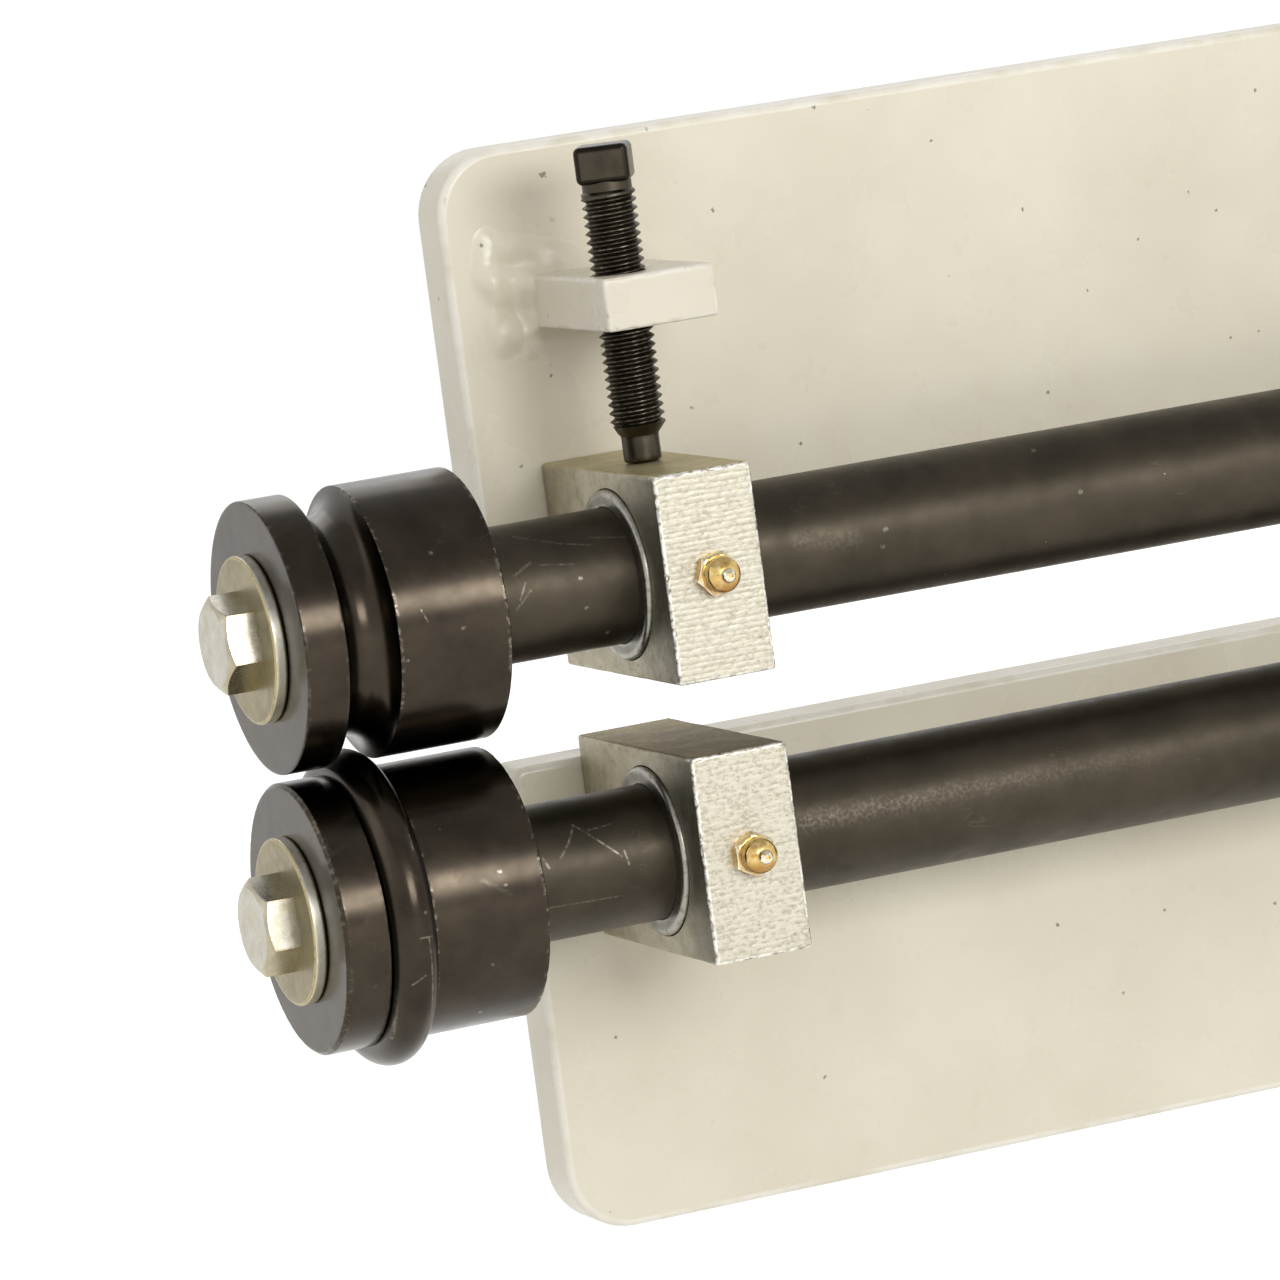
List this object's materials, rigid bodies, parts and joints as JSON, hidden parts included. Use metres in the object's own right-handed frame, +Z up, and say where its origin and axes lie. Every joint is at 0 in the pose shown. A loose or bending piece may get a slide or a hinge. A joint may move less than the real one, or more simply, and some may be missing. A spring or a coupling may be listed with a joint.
{
  "type": "bead roller",
  "caption": "Hand cranked bead roller: geared shafts on a deep throat plate frame carry a grooved and a ringed die, with a height screw and a crank.",
  "frame": {"origin": "centre of the four bench holes, on the underside of the foot", "axes": "+X along the shafts towards the crank, the dies at -X; +Y from the shafts through the frame plate; +Z up, out of the bench"},
  "size_m": [0.7887, 0.1436, 0.3735],
  "materials": {
    "cream_enamel": "gloss enamel over welded steel plate",
    "sawn_steel": "bare bar, saw and mill lines",
    "bush_steel": "turned and ground",
    "brass": "turned brass",
    "black_oxide": "black oxide, semi gloss",
    "machined_steel": "machined, light oil",
    "zinc_plate": "bright yellowish zinc plate",
    "black_enamel": "black enamel",
    "black_plastic": "moulded, satin"
  },
  "bodies": {
    "frame": {"frame_plate": "cream_enamel", "mounting_foot": "cream_enamel", "foot_gussets": "cream_enamel", "adjuster_lug": "cream_enamel", "frame_welds": "cream_enamel", "lower_front_block": "sawn_steel", "lower_front_bush": "bush_steel", "lower_front_grease_nipple": "brass", "lower_rear_block": "sawn_steel", "lower_rear_bush": "bush_steel", "lower_rear_grease_nipple": "brass", "lower_block_bolts": "zinc_plate", "lower_block_washers": "zinc_plate"},
    "adjusting_screw": {"adjusting_screw": "black_oxide"},
    "upper_bearings": {"upper_front_block": "sawn_steel", "upper_front_bush": "bush_steel", "upper_front_grease_nipple": "brass", "upper_rear_block": "sawn_steel", "upper_rear_bush": "bush_steel", "upper_rear_grease_nipple": "brass", "guide_stud": "zinc_plate", "guide_washer": "zinc_plate", "guide_nut": "zinc_plate", "pivot_bolt": "zinc_plate", "pivot_washer": "zinc_plate"},
    "upper_shaft": {"upper_shaft": "black_oxide", "upper_die": "black_oxide", "upper_die_key": "machined_steel", "upper_die_washer": "zinc_plate", "upper_die_bolt": "zinc_plate", "upper_collar": "machined_steel", "upper_collar_screw": "black_oxide", "upper_gear": "machined_steel", "upper_gear_key": "machined_steel", "upper_gear_screw": "black_oxide"},
    "lower_shaft": {"lower_shaft": "black_oxide", "lower_die": "black_oxide", "lower_die_key": "machined_steel", "lower_die_washer": "zinc_plate", "lower_die_bolt": "zinc_plate", "lower_collar": "machined_steel", "lower_collar_screw": "black_oxide", "lower_gear": "machined_steel", "lower_gear_key": "machined_steel", "lower_gear_screw": "black_oxide", "crank_arm": "black_enamel", "crank_bolt": "zinc_plate", "grip_spindle": "zinc_plate", "spindle_nut": "zinc_plate"},
    "crank_grip": {"crank_grip": "black_plastic"}
  },
  "joints": [
    {"name": "upper_shaft_tilt", "type": "hinge", "parent": "frame", "child": "upper_bearings", "pos_m": [0.0085, 0, 0.1625], "axis": [0, 1, 0], "range_deg": [-0.1657, 0.6214]},
    {"name": "adjusting_screw_travel", "type": "slide", "parent": "frame", "child": "adjusting_screw", "axis": [0, 0, 1], "range_m": [-0.0014, 0.0052]},
    {"name": "lower_shaft_spin", "type": "hinge", "parent": "frame", "child": "lower_shaft", "pos_m": [0, -0.0462, 0.1005], "axis": [1, 0, 0], "continuous": true},
    {"name": "upper_shaft_spin", "type": "hinge", "parent": "upper_bearings", "child": "upper_shaft", "pos_m": [0, -0.0462, 0.1625], "axis": [1, 0, 0], "continuous": true},
    {"name": "crank_grip_spin", "type": "hinge", "parent": "lower_shaft", "child": "crank_grip", "pos_m": [0.15, -0.0462, -0.0995], "axis": [1, 0, 0], "continuous": true}
  ],
  "couplings": [
    {"joint": "adjusting_screw_travel", "follows": "upper_shaft_tilt", "m_per_rad": 0.4728},
    {"joint": "upper_shaft_spin", "follows": "lower_shaft_spin", "ratio": -1}
  ]
}
